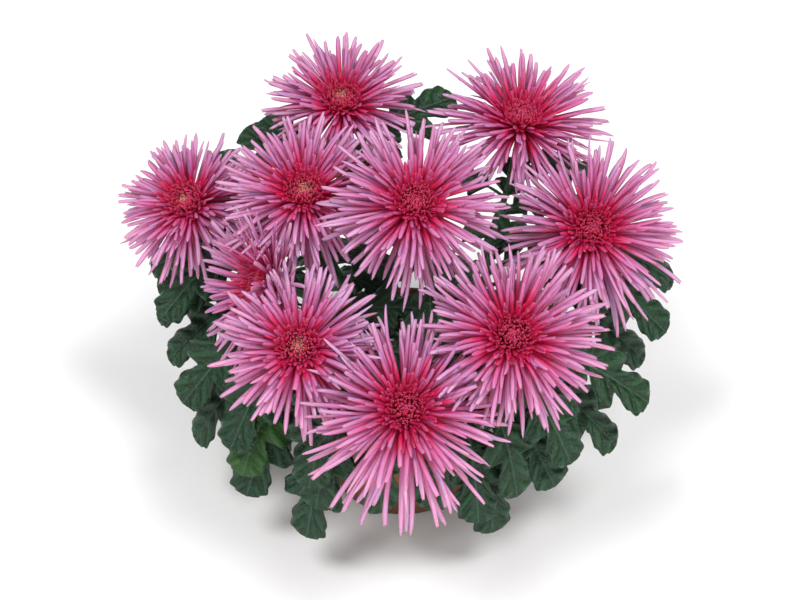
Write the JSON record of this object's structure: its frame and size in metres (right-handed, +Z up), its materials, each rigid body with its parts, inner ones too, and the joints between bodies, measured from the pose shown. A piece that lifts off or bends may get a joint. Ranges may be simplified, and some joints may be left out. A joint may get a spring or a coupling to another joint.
{
  "type": "pot chrysanthemum",
  "caption": "Bushy potted chrysanthemum with large spidery pink blooms over dark lobed leaves that hang past a plain round pot.",
  "frame": {"origin": "middle of the pot's flat underside, on the surface the pot stands on", "axes": "+Z up along the pot's axis, -Y towards the plant's front, +X to the right seen from the front"},
  "size_m": [0.3524, 0.329, 0.2717],
  "materials": {
    "pot": "matte",
    "soil": "matte",
    "leaf": "matte",
    "ray": "matte",
    "disc": "matte"
  },
  "bodies": {
    "root": {"pot": "pot", "soil": "soil", "cutting_1": "leaf", "cutting_2": "leaf", "cutting_3": "leaf", "cutting_4": "leaf", "cutting_5": "leaf", "bloom_01_rays": "ray", "bloom_01_disc": "disc", "bloom_02_rays": "ray", "bloom_02_disc": "disc", "bloom_03_rays": "ray", "bloom_03_disc": "disc", "bloom_04_rays": "ray", "bloom_04_disc": "disc", "bloom_05_rays": "ray", "bloom_05_disc": "disc", "bloom_06_rays": "ray", "bloom_06_disc": "disc", "bloom_07_rays": "ray", "bloom_07_disc": "disc", "bloom_08_rays": "ray", "bloom_08_disc": "disc", "bloom_09_rays": "ray", "bloom_09_disc": "disc", "bloom_10_rays": "ray", "bloom_10_disc": "disc"}
  },
  "joints": []
}
